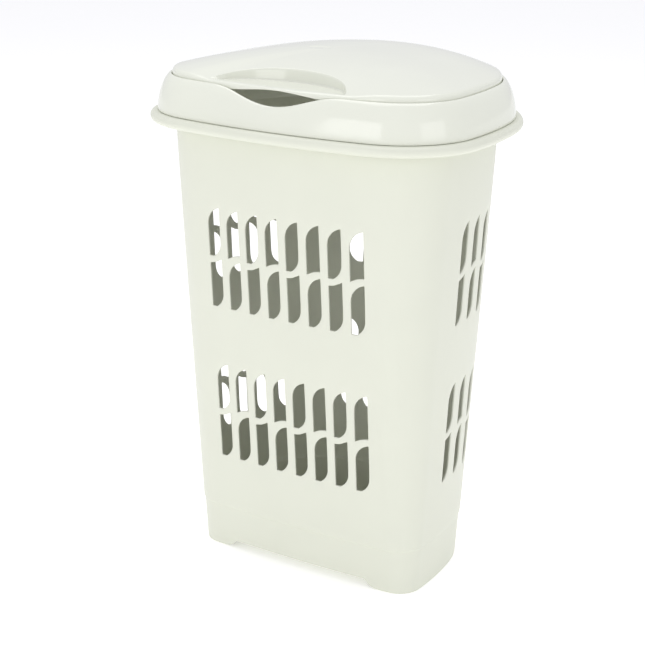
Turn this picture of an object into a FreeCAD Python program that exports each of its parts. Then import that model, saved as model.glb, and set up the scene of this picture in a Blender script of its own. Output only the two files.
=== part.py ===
"""Laundry hamper with a hinged lid: a slotted tub, a lift-off lid collar and a lid flap.

Millimetres, +Z up, front towards -Y. The origin is the middle of the base, at floor level.
Every plan outline is the same D shape, drawn with eight tangent arcs: a nearly flat front, two
front corners, two bowed sides, two back corners and a round back. It grows from the base to the
rim, and each piece takes it at its own height, moved in or out by its own offset.
"""
import FreeCAD
import Part
import math
import os

import Sketcher
from FreeCAD import Placement, Rotation, Vector

SIZES = [
    # tub outline, base and rim
    ("half_width_base", 151.0), ("half_width_rim", 178.6),
    ("front_reach_base", 107.4), ("front_reach_rim", 155.7),
    ("back_reach_base", 111.4), ("back_reach_rim", 155.7),
    ("front_radius_base", 1800.0), ("front_radius_rim", 760.0),
    ("front_corner_base", 30.0), ("front_corner_rim", 72.0),
    ("side_radius_base", 420.0), ("side_radius_rim", 480.0),
    ("side_centre_front", 62.0),
    ("back_corner_base", 118.0), ("back_corner_rim", 154.0),
    ("back_radius_over_base", 229.0),
    ("back_radius_over_rim", 1.4),
    # tub
    ("rim_height", 540.0), ("wall", 2.4), ("floor_top", 14.0), ("floor_thickness", 2.6),
    ("plinth_height", 56.0), ("plinth_set_in", 1.3),
    ("bead_reach", 28.6), ("bead_height", 12.4), ("bead_radius", 6.1), ("rim_plate", 2.4),
    ("arch_half_width", 104.0), ("arch_height", 10.0), ("arch_slope", 10.0),
    # slot windows
    ("slot_pitch", 27.2), ("slot_width", 17.3), ("side_slot_pitch", 31.8), ("side_slot_width", 15.0),
    ("side_slots_back", 14.3), ("slot_base", 317.9), ("slot_group_step", 192.2),
    ("lower_left_top", 53.0), ("lower_right_top", 58.9), ("upper_left_base", 61.6),
    ("upper_right_base", 67.0), ("slot_top", 120.1), ("slot_round_drop", 21.0),
    ("slot_foot_width", 11.0), ("slot_foot_rise", 18.0), ("rib_radius", 29.0),
    # lid collar
    ("piece_gap", 0.3), ("collar_reach", 18.0), ("collar_height", 41.9), ("collar_wall", 2.4),
    ("collar_shoulder", 14.0), ("seat_reach", 3.3), ("seat_depth", 5.0), ("spigot_drop", 12.0),
    ("spigot_clearance", 1.8), ("scoop_half_width", 85.0), ("scoop_depth", 20.0),
    # lid flap
    ("flap_clearance", 0.6), ("flap_wall", 2.4), ("crown_height", 27.1), ("lip_above_seat", 8.0),
    ("recess_half_width", 88.0), ("recess_depth", 54.0), ("lip_arch_half_width", 62.0),
    ("lip_arch_height", 5.0),
    # hinge
    ("barrel_radius", 5.9), ("barrel_set_in", 0.1), ("barrel_above_seat", 0.6),
    ("barrel_half_length", 34.0),
    ("ear_set_in", 0.3), ("ear_thickness", 6.0), ("ear_gap", 0.4), ("pin_radius", 2.2),
    ("pin_clearance", 0.06), ("pin_length", 5.0), ("swing_clearance", 0.6),
]
COLUMNS_FRONT, COLUMNS_SIDE, COLUMNS_BACK = 8, 4, 6
SLOT_GROUPS = 2
SLOT_DEPTH = 90.0
SLOT_PLANE_OUT = 25.0
EDGE_ROUND_ANGLE = 65.0
# The crown's level sections: share of the climb, scale, and move towards the back.
CROWN_SECTIONS = ((0.0, 1.0, 0.0), (0.25, 0.87, 11.0), (0.5, 0.71, 23.0), (0.7, 0.56, 33.0),
                  (0.85, 0.41, 41.0), (0.95, 0.25, 47.0), (1.0, 0.11, 51.0))

doc = FreeCAD.newDocument("hamper")
sheet = doc.addObject("Spreadsheet::Sheet", "Sizes")
for row, (alias, value) in enumerate(SIZES, start=1):
    sheet.set("A%d" % row, alias)
    sheet.set("B%d" % row, str(value))
    sheet.setAlias("B%d" % row, alias)
doc.recompute()


def size(name):
    return float(getattr(sheet, name))


def cell(name):
    return "Sizes." + name


class Length:
    """A length as a number and as the expression that keeps it tied to the sheet."""

    def __init__(self, value, text):
        self.value = float(value)
        self.text = text

    def __add__(self, other):
        other = as_length(other)
        return Length(self.value + other.value, "(%s + %s)" % (self.text, other.text))

    def __sub__(self, other):
        other = as_length(other)
        return Length(self.value - other.value, "(%s - %s)" % (self.text, other.text))

    def __mul__(self, factor):
        factor = as_length(factor)
        return Length(self.value * factor.value, "(%s * %s)" % (self.text, factor.text))

    def __truediv__(self, other):
        other = as_length(other)
        return Length(self.value / other.value, "(%s / %s)" % (self.text, other.text))

    def __neg__(self):
        return Length(-self.value, "(0 - %s)" % self.text)


def as_length(thing):
    if isinstance(thing, Length):
        return thing
    if isinstance(thing, str):
        return Length(size(thing), cell(thing))
    return Length(thing, repr(float(thing)))


def at_height(base, rim, height):
    """A size of the outline at a height, on the straight line from the base to the rim."""
    return as_length(base) + (as_length(rim) - base) * height / "rim_height"


def outline_sizes(height, offset):
    """The sizes of the D outline at a height, moved outwards by an offset. The back's radius goes
    with the half width, so that the sides always run into the back."""
    back_base = as_length("half_width_base") + "back_radius_over_base"
    back_rim = as_length("half_width_rim") + "back_radius_over_rim"
    height = as_length(height)
    offset = as_length(offset)
    return {
        "half_width": at_height("half_width_base", "half_width_rim", height) + offset,
        "front_reach": at_height("front_reach_base", "front_reach_rim", height) + offset,
        "back_reach": at_height("back_reach_base", "back_reach_rim", height) + offset,
        "front_radius": at_height("front_radius_base", "front_radius_rim", height) + offset,
        "front_corner": at_height("front_corner_base", "front_corner_rim", height) + offset,
        "side_radius": at_height("side_radius_base", "side_radius_rim", height) + offset,
        "back_corner": at_height("back_corner_base", "back_corner_rim", height) + offset,
        "back_radius": at_height(back_base, back_rim, height) + offset,
        "side_centre_front": as_length("side_centre_front"),
    }


def meeting_centre(centre_a, reach_a, centre_b, reach_b, towards):
    """The point at two given distances from two centres, on the side that `towards` points to."""
    across = centre_b - centre_a
    gap = across.Length
    along = (reach_a ** 2 - reach_b ** 2 + gap ** 2) / (2 * gap)
    height = math.sqrt(max(reach_a ** 2 - along ** 2, 0.0))
    across.normalize()
    sideways = Vector(-across.y, across.x, 0)
    options = [centre_a + across * along + sideways * (sign * height) for sign in (1, -1)]
    return max(options, key=lambda point: point.dot(towards))


def outline_arcs(sizes):
    """Centre, radius and joints of the eight arcs, anticlockwise from the front."""
    v = {name: length.value for name, length in sizes.items()}
    front = Vector(0, v["front_radius"] - v["front_reach"], 0)
    right = Vector(v["half_width"] - v["side_radius"], -v["side_centre_front"], 0)
    back = Vector(0, v["back_reach"] - v["back_radius"], 0)
    front_right = meeting_centre(front, v["front_radius"] - v["front_corner"],
                                 right, v["side_radius"] - v["front_corner"], Vector(1, -1, 0))
    back_right = meeting_centre(right, v["side_radius"] - v["back_corner"],
                                back, v["back_radius"] - v["back_corner"], Vector(1, 1, 0))

    def mirrored(point):
        return Vector(-point.x, point.y, 0)

    arcs = [(front, v["front_radius"]), (front_right, v["front_corner"]),
            (right, v["side_radius"]), (back_right, v["back_corner"]),
            (back, v["back_radius"]), (mirrored(back_right), v["back_corner"]),
            (mirrored(right), v["side_radius"]), (mirrored(front_right), v["front_corner"])]
    joints = []
    for (centre, radius), (next_centre, next_radius) in zip(arcs, arcs[1:] + arcs[:1]):
        big, small = (centre, next_centre) if radius > next_radius else (next_centre, centre)
        outwards = (small - big).normalize()
        joints.append(big + outwards * max(radius, next_radius))
    return arcs, joints


def angle_from(centre, point):
    return math.atan2(point.y - centre.y, point.x - centre.x)


def new_sketch(body, name, plane="XY_Plane", offset=None, turn=None):
    """A sketch on one of the body's own origin planes; offset is a dict of axis to Length."""
    sketch = body.newObject("Sketcher::SketchObject", name)
    origin_plane = [f for f in body.Origin.OriginFeatures if f.Role == plane][0]
    sketch.AttachmentSupport = [(origin_plane, "")]
    sketch.MapMode = "FlatFace"
    base = Vector(*[as_length((offset or {}).get(axis, 0.0)).value for axis in "xyz"])
    sketch.AttachmentOffset = Placement(base, turn or Rotation())
    for axis, length in (offset or {}).items():
        sketch.setExpression("AttachmentOffset.Base." + axis, as_length(length).text)
    return sketch


def bind(sketch, index, name, length):
    """Names a sketch constraint and ties it to the sheet."""
    sketch.renameConstraint(index, name)
    sketch.setExpression("Constraints." + name, length.text)


def draw_outline(sketch, sizes, tag="o"):
    """Adds the D outline to a sketch as eight tangent arcs, fully tied to the sheet."""
    arcs, joints = outline_arcs(sizes)
    first = sketch.GeometryCount
    for number, (centre, radius) in enumerate(arcs):
        start = angle_from(centre, joints[number - 1])
        end = angle_from(centre, joints[number])
        if end < start:
            end += 2 * math.pi
        circle = Part.Circle(centre, Vector(0, 0, 1), radius)
        sketch.addGeometry(Part.ArcOfCircle(circle, start, end), False)
    for number in range(8):
        follower = first + (number + 1) % 8
        sketch.addConstraint(Sketcher.Constraint("Tangent", first + number, 2, follower, 1))
    radius_names = ["front_radius", "front_corner", "side_radius", "back_corner",
                    "back_radius", "back_corner", "side_radius", "front_corner"]
    for number, name in enumerate(radius_names):
        index = sketch.addConstraint(
            Sketcher.Constraint("Radius", first + number, sizes[name].value))
        bind(sketch, index, "%s_radius_%d" % (tag, number), sizes[name])
    for number in (0, 4):
        sketch.addConstraint(Sketcher.Constraint("PointOnObject", first + number, 3, -2))

    def hold(kind, point_a, point_b, length, name):
        index = sketch.addConstraint(
            Sketcher.Constraint(kind, point_a[0], point_a[1], point_b[0], point_b[1], length.value))
        bind(sketch, index, tag + "_" + name, length)

    root = (-1, 1)
    hold("DistanceY", root, (first, 3), sizes["front_radius"] - sizes["front_reach"], "front")
    hold("DistanceY", (first + 4, 3), root, sizes["back_radius"] - sizes["back_reach"], "back")
    inset = sizes["side_radius"] - sizes["half_width"]
    hold("DistanceX", (first + 2, 3), root, inset, "right")
    hold("DistanceX", root, (first + 6, 3), inset, "left")
    for number, side in ((2, "right_y"), (6, "left_y")):
        hold("DistanceY", (first + number, 3), root, sizes["side_centre_front"], side)


def outline_sketch(body, name, height, *offsets, at=None):
    """A level sketch with one D outline for each offset; `at` is its own level if it differs."""
    level = as_length(height if at is None else at)
    sketch = new_sketch(body, name, offset={"z": level})
    for number, offset in enumerate(offsets):
        draw_outline(sketch, outline_sizes(height, offset), "o%d" % number)
    return sketch


def draw_loop(sketch, corners, tag):
    """A closed loop. Each corner is (x, y, radius, bulge) and the edge leaves that corner: a line
    where radius is None, or else an arc that bulges to the left (+1) or right (-1) of its way.
    A half circle is held by the height of its centre, as its radius follows from its ends."""
    first = sketch.GeometryCount
    points = [Vector(c[0].value, c[1].value, 0) for c in corners]
    count = len(corners)
    for number, (x, y, radius, bulge) in enumerate(corners):
        start = points[number]
        end = points[(number + 1) % count]
        if radius is None:
            sketch.addGeometry(Part.LineSegment(start, end), False)
            continue
        chord = end - start
        reach = math.sqrt(max(radius.value ** 2 - (chord.Length / 2) ** 2, 0.0))
        sideways = Vector(-chord.y, chord.x, 0).normalize()
        centre = (start + end) * 0.5 - sideways * (bulge * reach)
        from_start, from_end = angle_from(centre, start), angle_from(centre, end)
        if bulge > 0:
            from_start, from_end = from_end, from_start
        if from_end < from_start:
            from_end += 2 * math.pi
        circle = Part.Circle(centre, Vector(0, 0, 1), radius.value)
        sketch.addGeometry(Part.ArcOfCircle(circle, from_start, from_end), False)

    def ends(number):
        turned = corners[number][2] is not None and corners[number][3] > 0
        return (2, 1) if turned else (1, 2)

    for number in range(count):
        follower = (number + 1) % count
        sketch.addConstraint(Sketcher.Constraint(
            "Coincident", first + number, ends(number)[1], first + follower, ends(follower)[0]))
    for number, (x, y, radius, bulge) in enumerate(corners):
        point = (first + number, ends(number)[0])
        for kind, length in (("DistanceX", x), ("DistanceY", y)):
            index = sketch.addConstraint(
                Sketcher.Constraint(kind, -1, 1, point[0], point[1], length.value))
            bind(sketch, index, "%s_%s_%d" % (tag, kind[-1].lower(), number), length)
        if radius is None:
            continue
        chord = points[(number + 1) % count] - points[number]
        if abs(chord.Length - radius.value * 2) < 1e-6:
            index = sketch.addConstraint(
                Sketcher.Constraint("DistanceY", -1, 1, first + number, 3, y.value))
            bind(sketch, index, "%s_m_%d" % (tag, number), y)
        else:
            index = sketch.addConstraint(
                Sketcher.Constraint("Radius", first + number, radius.value))
            bind(sketch, index, "%s_r_%d" % (tag, number), radius)


def new_body(label):
    body = doc.addObject("PartDesign::Body", label)
    body.Label = label
    return body


def volume(body):
    doc.recompute()
    return body.Shape.Volume


def loft(body, kind, name, sketches, ruled=True):
    feature = body.newObject("PartDesign::" + kind, name)
    feature.Profile = sketches[0]
    feature.Sections = sketches[1:]
    feature.Ruled = ruled
    return feature


def pad(body, name, sketch, length, downwards=False):
    feature = body.newObject("PartDesign::Pad", name)
    feature.Profile = sketch
    feature.Length = as_length(length).value
    feature.setExpression("Length", as_length(length).text)
    feature.Reversed = downwards
    return feature


def pocket(body, name, sketch, length, upwards=False, both_ways=False):
    """A pocket that has to remove something, or the build stops."""
    before = volume(body)
    feature = body.newObject("PartDesign::Pocket", name)
    feature.Profile = sketch
    feature.Length = as_length(length).value
    feature.setExpression("Length", as_length(length).text)
    feature.Reversed = upwards
    feature.SideType = "Symmetric" if both_ways else "One side"
    if not volume(body) < before - 1.0:
        raise RuntimeError(name + " cuts nothing")
    return feature


def fillet_edges(body, name, keep, radius):
    """Rounds the edges of the body's last feature that `keep` accepts."""
    doc.recompute()
    base = body.Tip
    picked = ["Edge%d" % (n + 1) for n, edge in enumerate(base.Shape.Edges) if keep(edge)]
    if not picked:
        raise RuntimeError(name + " finds no edge")
    feature = body.newObject("PartDesign::Fillet", name)
    feature.Base = (base, picked)
    feature.Radius = as_length(radius).value
    feature.setExpression("Radius", as_length(radius).text)
    return feature


def on_level(edge, level):
    box = edge.BoundBox
    return abs(box.ZMin - level) < 0.01 and abs(box.ZMax - level) < 0.01


def middle_of(edge):
    return edge.valueAt((edge.FirstParameter + edge.LastParameter) / 2)


def slot_corners(left, base, width, upper, odd):
    """One slot window. Its top left and bottom right are round, its other corners sharp, and the
    rib between the two rows waves from one column to the next."""
    right = left + width
    drop = as_length("slot_round_drop")
    top_radius = (width * width + drop * drop) / (width * 2)
    foot_width = as_length("slot_foot_width")
    foot_rise = as_length("slot_foot_rise")
    foot_radius = (foot_width * foot_width + foot_rise * foot_rise) / (foot_width * 2)
    rib = as_length("rib_radius")
    corners = []
    if upper and not odd:
        corners.append((left, base + "upper_left_base", rib, 1))
        corners.append((right, base + "upper_right_base", None, 0))
    else:
        foot = base + "upper_left_base" if upper else base
        corners.append((left, foot, None, 0))
        corners.append((right - foot_width, foot, foot_radius, -1))
        corners.append((right, foot + foot_rise, None, 0))
    if not upper and odd:
        corners.append((right, base + "lower_right_top", rib, 1))
        corners.append((left, base + "lower_left_top", None, 0))
    else:
        top = base + ("slot_top" if upper else "lower_right_top")
        corners.append((right, top, top_radius, -1))
        corners.append((left, top - drop, None, 0))
    return corners


def slot_group(body, name, bearing, out, left, columns, pitch, width):
    """Slot windows through one wall: pairs of columns, repeated sideways and up the wall."""
    pitch = as_length(pitch)
    width = as_length(width)
    turn = Rotation(Vector(0, 1, 0), bearing)
    out = as_length(out) + SLOT_PLANE_OUT
    offset = {"x": out * round(math.sin(math.radians(bearing)), 6),
              "z": out * round(math.cos(math.radians(bearing)), 6)}
    sketch = new_sketch(body, name + "_profile", "XZ_Plane", offset, turn)
    base = as_length("slot_base") - "slot_group_step"
    for column in range(2):
        for upper in (False, True):
            corners = slot_corners(left + pitch * column, base, width, upper, odd=column == 0)
            draw_loop(sketch, corners, "c%d%s" % (column, "u" if upper else "d"))
    cut = pocket(body, name, sketch, SLOT_DEPTH)
    pattern = body.newObject("PartDesign::MultiTransform", name + "_pattern")
    pattern.Originals = [cut]
    steps = []
    for axis, step, count in (("H_Axis", pitch * 2, columns // 2),
                              ("V_Axis", as_length("slot_group_step"), SLOT_GROUPS)):
        row = body.newObject("PartDesign::LinearPattern", "%s_%s" % (name, axis[0].lower()))
        row.Direction = (sketch, [axis])
        row.Occurrences = count
        row.Length = step.value * (count - 1)
        row.setExpression("Length", (step * (count - 1)).text)
        steps.append(row)
    pattern.Transformations = steps
    body.Tip = pattern
    doc.recompute()
    return pattern


def make_tub():
    body = new_body("tub")
    wall = as_length("wall")
    set_in = as_length("plinth_set_in")
    rim = as_length("rim_height")
    plinth = as_length("plinth_height")
    floor_top = as_length("floor_top")

    def shell(kind, name, low, high, offset):
        sketches = [outline_sketch(body, "%s_%s" % (name, end), height, offset)
                    for end, height in (("low", low), ("high", high))]
        return loft(body, kind, name, sketches)

    shell("AdditiveLoft", "walls", plinth, rim, 0.0)
    shell("AdditiveLoft", "plinth", 0.0, plinth, -set_in)
    shell("SubtractiveLoft", "plinth_inside", floor_top, plinth, -(set_in + wall))
    shell("SubtractiveLoft", "inside", plinth, rim, -wall)
    shell("SubtractiveLoft", "under_floor", 0.0, floor_top - "floor_thickness", -(set_in + wall))

    band_level = rim - "bead_height"
    band = outline_sketch(body, "bead_plan", rim, "bead_reach", wall * -0.5, at=band_level)
    pad(body, "bead", band, "bead_height")

    def is_bead_edge(edge):
        level = on_level(edge, rim.value) or on_level(edge, band_level.value)
        return level and is_on_outline(middle_of(edge), rim, "bead_reach")

    fillet_edges(body, "bead_round", is_bead_edge, "bead_radius")
    channel = outline_sketch(body, "bead_channel_plan", rim, as_length("bead_reach") - 4.0, 1.0,
                             at=band_level)
    pocket(body, "bead_channel", channel, as_length("bead_height") - "rim_plate", upwards=True)

    front_span = as_length("slot_pitch") * (COLUMNS_FRONT - 1) + "slot_width"
    back_span = as_length("slot_pitch") * (COLUMNS_BACK - 1) + "slot_width"
    side_span = as_length("side_slot_pitch") * (COLUMNS_SIDE - 1) + "side_slot_width"
    side_middle = as_length("side_slots_back")
    slot_group(body, "front_slots", 0, "front_reach_rim", front_span * -0.5,
               COLUMNS_FRONT, "slot_pitch", "slot_width")
    slot_group(body, "back_slots", 180, "back_reach_rim", back_span * -0.5,
               COLUMNS_BACK, "slot_pitch", "slot_width")
    slot_group(body, "right_slots", 90, "half_width_rim", side_middle - side_span * 0.5,
               COLUMNS_SIDE, "side_slot_pitch", "side_slot_width")
    slot_group(body, "left_slots", 270, "half_width_rim", -side_middle - side_span * 0.5,
               COLUMNS_SIDE, "side_slot_pitch", "side_slot_width")

    arch = new_sketch(body, "arch_profile", "XZ_Plane")
    foot = as_length("arch_half_width")
    shoulder = foot - "arch_slope"
    height = as_length("arch_height")
    draw_loop(arch, [(-foot, Length(-1, "-1"), None, 0), (foot, Length(-1, "-1"), None, 0),
                     (shoulder, height, None, 0), (-shoulder, height, None, 0)], "a")
    pocket(body, "arches", arch, as_length("front_reach_rim") * 3, both_ways=True)
    return body


def is_on_outline(point, height, offset):
    """True where a point lies on the D outline of that height and offset."""
    arcs, joints = outline_arcs(outline_sizes(height, offset))
    flat = Vector(point.x, point.y, 0)
    for number, (centre, radius) in enumerate(arcs):
        if abs((flat - centre).Length - radius) > 0.01:
            continue
        start = angle_from(centre, joints[number - 1])
        sweep = (angle_from(centre, joints[number]) - start) % (2 * math.pi)
        here = (angle_from(centre, flat) - start) % (2 * math.pi)
        if here <= sweep + 1e-6:
            return True
    return False


class Shared:
    """The heights and places that the collar and the flap share."""

    def __init__(self):
        self.rim = as_length("rim_height")
        self.top = self.rim + "collar_height"
        self.seat = self.top - "seat_depth"
        self.flap_reach = as_length("seat_reach") - "flap_clearance"
        self.edge_round = as_length("barrel_radius") + "barrel_set_in"
        self.hinge_y = as_length("back_reach_rim") + self.flap_reach - self.edge_round
        self.hinge_z = self.seat + "barrel_above_seat" + "barrel_radius"
        self.ear_radius = as_length("barrel_radius") - "ear_set_in"


def ear_sides():
    """Inner and outer distance of each hinge ear from the middle."""
    inner = as_length("barrel_half_length") + "ear_gap"
    return inner, inner + "ear_thickness"


def circle_sketch(body, name, centre_y, centre_z, radius):
    """A circle on the YZ plane."""
    sketch = new_sketch(body, name, "YZ_Plane")
    circle = Part.Circle(Vector(centre_y.value, centre_z.value, 0), Vector(0, 0, 1), radius.value)
    index = sketch.addGeometry(circle, False)
    for kind, length in (("DistanceX", centre_y), ("DistanceY", centre_z)):
        bound = sketch.addConstraint(Sketcher.Constraint(kind, -1, 1, index, 3, length.value))
        bind(sketch, bound, "centre_" + kind[-1].lower(), length)
    bind(sketch, sketch.addConstraint(Sketcher.Constraint("Radius", index, radius.value)),
         "radius", radius)
    return sketch


def draw_round_tab(sketch, centre_y, centre_z, radius, low, tag):
    """An upright tab with a half round top, drawn on the YZ plane."""
    left = centre_y - radius
    right = centre_y + radius
    draw_loop(sketch, [(left, low, None, 0), (right, low, None, 0),
                       (right, centre_z, radius, -1), (left, centre_z, None, 0)], tag)


def make_collar():
    body = new_body("lid_collar")
    at = Shared()
    low = at.rim + "piece_gap"
    wall = as_length("collar_wall")
    reach = as_length("collar_reach")
    spigot_out = -(as_length("wall") + "spigot_clearance")
    spigot_in = spigot_out - wall

    ring = outline_sketch(body, "ring_plan", at.rim, reach, spigot_in, at=low)
    pad(body, "ring", ring, at.top - low)

    def is_shoulder(edge):
        return on_level(edge, at.top.value) and is_on_outline(middle_of(edge), at.rim, reach)

    fillet_edges(body, "shoulder", is_shoulder, "collar_shoulder")
    recess = outline_sketch(body, "seat_plan", at.rim, "seat_reach", at=at.top)
    pocket(body, "seat", recess, "seat_depth")
    hollow = outline_sketch(body, "hollow_plan", at.rim, reach - wall, spigot_out, at=low)
    pocket(body, "hollow", hollow, at.seat - wall - low, upwards=True)
    spigot = outline_sketch(body, "spigot_plan", at.rim, spigot_out, spigot_in, at=low)
    pad(body, "spigot", spigot, as_length("spigot_drop") + "piece_gap", downwards=True)

    scoop = new_sketch(body, "scoop_profile", "XZ_Plane",
                       {"z": as_length("front_reach_rim") + reach + 10.0})
    half = as_length("scoop_half_width")
    dip = as_length("scoop_depth")
    turn = half * 0.5
    turn_z = at.top - dip * 0.5
    radius = (turn * turn + dip * dip * 0.25) / dip
    above = at.top + 10.0
    draw_loop(scoop, [(-half, at.top, radius, 1), (-turn, turn_z, radius, -1),
                      (turn, turn_z, radius, 1), (half, at.top, None, 0),
                      (half, above, None, 0), (-half, above, None, 0)], "s")
    pocket(body, "scoop", scoop, as_length("front_reach_rim") * 0.5)

    inner, outer = ear_sides()
    room = outer + "barrel_radius"
    front = at.hinge_y - room * 0.5
    back = at.hinge_y + at.edge_round + "flap_clearance"
    notch = new_sketch(body, "notch_plan", offset={"z": at.top})
    draw_loop(notch, [(-room, front, None, 0), (room, front, None, 0),
                      (room, back, None, 0), (-room, back, None, 0)], "n")
    pocket(body, "notch", notch, "seat_depth")
    for name, start in (("right", inner), ("left", -outer)):
        ear = new_sketch(body, name + "_ear_profile", "YZ_Plane", {"z": start})
        draw_round_tab(ear, at.hinge_y, at.hinge_z, at.ear_radius, at.seat - wall * 0.5, "e")
        pad(body, name + "_ear", ear, "ear_thickness")
    bore = circle_sketch(body, "bore_profile", at.hinge_y, at.hinge_z,
                         as_length("pin_radius") + "pin_clearance")
    pocket(body, "bores", bore, outer * 2 + 2.0, both_ways=True)
    return body


def crowned_block(body, name, at, bottom, shrink):
    """A solid block with the flap's outline and crown, smaller all round by `shrink`. Its edge
    is rounded about the height of the hinge, and the crown is fullest behind the middle."""
    turn = math.radians(EDGE_ROUND_ANGLE)
    reach = at.flap_reach - shrink
    start = at.hinge_z - shrink
    blank = outline_sketch(body, name + "_plan", at.rim, reach, at=bottom)
    pad(body, name, blank, start - bottom)
    edge = []
    for number, share in enumerate((0.0, 0.5, 1.0)):
        inset = at.edge_round * (1.0 - math.cos(turn * share))
        level = start + at.edge_round * math.sin(turn * share)
        edge.append(outline_sketch(body, "%s_edge_%d" % (name, number), at.rim, reach - inset,
                                   at=level))
    loft(body, "AdditiveLoft", name + "_edge", edge, ruled=False)
    climb = at.top + "crown_height" - shrink - level
    rim_sizes = outline_sizes(at.rim, reach - inset)
    crown = []
    for number, (share, scale, back) in enumerate(CROWN_SECTIONS):
        sketch = new_sketch(body, "%s_crown_%d" % (name, number),
                            offset={"y": as_length(back), "z": level + climb * share})
        draw_outline(sketch, {key: length * scale for key, length in rim_sizes.items()})
        crown.append(sketch)
    loft(body, "AdditiveLoft", name + "_crown", crown, ruled=False)


def recess_profile(body, name, level, grow):
    """The crescent behind the lip, from above: round at the back, open past the front edge."""
    half = as_length("recess_half_width") + grow
    front = -(as_length("front_reach_rim") + "collar_reach")
    back = -as_length("front_reach_rim") + "recess_depth" + grow
    chord = -as_length("front_reach_rim") + 12.0
    rise = back - chord
    radius = (half * half + rise * rise) / (rise * 2)
    sketch = new_sketch(body, name, offset={"z": level})
    draw_loop(sketch, [(-half, chord, radius, 1), (half, chord, None, 0),
                       (half, front, None, 0), (-half, front, None, 0)], "r")
    return sketch


def make_flap():
    at = Shared()
    bottom = at.seat + "piece_gap"
    wall = as_length("flap_wall")
    crest = at.top + "crown_height"
    lip = at.seat + "lip_above_seat"

    outer = new_body("flap_outside")
    crowned_block(outer, "outside", at, bottom, as_length(0.0))
    pocket(outer, "recess", recess_profile(outer, "recess_plan", crest, 0.0), crest - lip)

    inner = new_body("flap_inside")
    crowned_block(inner, "inside", at, bottom - 2.0, wall)
    pocket(inner, "recess_under", recess_profile(inner, "recess_under_plan", crest, wall),
           crest - (lip - wall))

    hinge = new_body("flap_hinge")
    half = as_length("barrel_half_length")
    for name, radius, reach in (("barrel", as_length("barrel_radius"), half),
                                ("pins", as_length("pin_radius"), half + "pin_length")):
        sketch = circle_sketch(hinge, name + "_profile", at.hinge_y, at.hinge_z, radius)
        pad(hinge, name, sketch, reach * 2).SideType = "Symmetric"

    cuts = new_body("flap_cuts")
    ear_outer = ear_sides()[1]
    front = at.hinge_y - (at.ear_radius + "swing_clearance")
    back = at.hinge_y + "barrel_radius" + 2.0
    skirt = new_sketch(cuts, "rear_skirt_plan", offset={"z": at.hinge_z})
    draw_loop(skirt, [(-ear_outer, front, None, 0), (ear_outer, front, None, 0),
                      (ear_outer, back, None, 0), (-ear_outer, back, None, 0)], "k")
    pad(cuts, "rear_skirt", skirt, at.hinge_z - bottom + 2.0, downwards=True)
    room_end = ear_outer + "ear_gap"
    room_top = at.hinge_z + at.ear_radius + 8.0
    for name, start in (("right", half), ("left", -room_end)):
        room = new_sketch(cuts, name + "_ear_room_profile", "YZ_Plane", {"z": start})
        draw_loop(room, [(front, bottom - 2.0, None, 0), (back, bottom - 2.0, None, 0),
                         (back, room_top, None, 0), (front, room_top, None, 0)], "q")
        pad(cuts, name + "_ear_room", room, room_end - half)
    arch = new_sketch(cuts, "lip_arch_profile", "XZ_Plane",
                      {"z": as_length("front_reach_rim") + at.flap_reach - 6.0})
    span = as_length("lip_arch_half_width")
    rise = as_length("lip_arch_height")
    radius = (span * span + rise * rise) / (rise * 2)
    draw_loop(arch, [(-span, bottom - 1.0, None, 0), (span, bottom - 1.0, None, 0),
                     (span, bottom, radius, -1), (-span, bottom, None, 0)], "l")
    pad(cuts, "lip_arch", arch, 12.0)
    doc.recompute()

    shell = doc.addObject("Part::Cut", "flap_shell")
    shell.Base = outer
    shell.Tool = inner
    trimmed = doc.addObject("Part::Cut", "flap_trimmed")
    trimmed.Base = shell
    trimmed.Tool = cuts
    flap = doc.addObject("Part::Fuse", "lid_flap")
    flap.Base = trimmed
    flap.Tool = hinge
    flap.Label = "lid_flap"
    return flap


pieces = [make_tub(), make_collar(), make_flap()]
doc.recompute()

for thing in doc.Objects:
    if "Invalid" in thing.State or "Error" in thing.State:
        raise RuntimeError("%s failed: %s" % (thing.Name, thing.State))
for piece in pieces:
    if piece.Shape.isNull() or not piece.Shape.isValid():
        raise RuntimeError(piece.Label + " has no valid shape")

os.makedirs("parts", exist_ok=True)
for piece in pieces:
    box = piece.Shape.BoundBox
    print("%-12s solids %d volume %.0f  x %.1f..%.1f  y %.1f..%.1f  z %.1f..%.1f" % (
        piece.Label, len(piece.Shape.Solids), piece.Shape.Volume,
        box.XMin, box.XMax, box.YMin, box.YMax, box.ZMin, box.ZMax))
    piece.Shape.exportStep("parts/%s.step" % piece.Label)
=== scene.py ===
"""Laundry hamper with a hinged lid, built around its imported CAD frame.

Sizes are in millimetres in the maths and in metres in Blender. +Z is up and -Y is the front.
Every piece follows the same D outline of tangent arcs, taken at a height and moved in or out.
"""

import math

import bmesh
import bpy
import numpy as np
from bpy.props import (FloatProperty, FloatVectorProperty, IntProperty, PointerProperty,
                       StringProperty)
from mathutils import Matrix, Vector
from mathutils.geometry import delaunay_2d_cdt


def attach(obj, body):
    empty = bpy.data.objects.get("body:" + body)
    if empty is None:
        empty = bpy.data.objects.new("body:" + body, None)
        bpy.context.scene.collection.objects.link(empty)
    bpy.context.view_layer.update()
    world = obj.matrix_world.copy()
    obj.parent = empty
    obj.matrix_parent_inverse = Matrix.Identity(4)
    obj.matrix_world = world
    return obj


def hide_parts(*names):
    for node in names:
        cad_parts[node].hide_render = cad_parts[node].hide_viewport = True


bl_info = {
    "name": "Laundry hamper",
    "version": (1, 0, 0),
    "blender": (4, 5, 0),
    "location": "View3D > Sidebar > Hamper",
    "description": "Builds a slotted laundry hamper with a lid collar and a hinged flap",
    "category": "Add Mesh",
}

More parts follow.
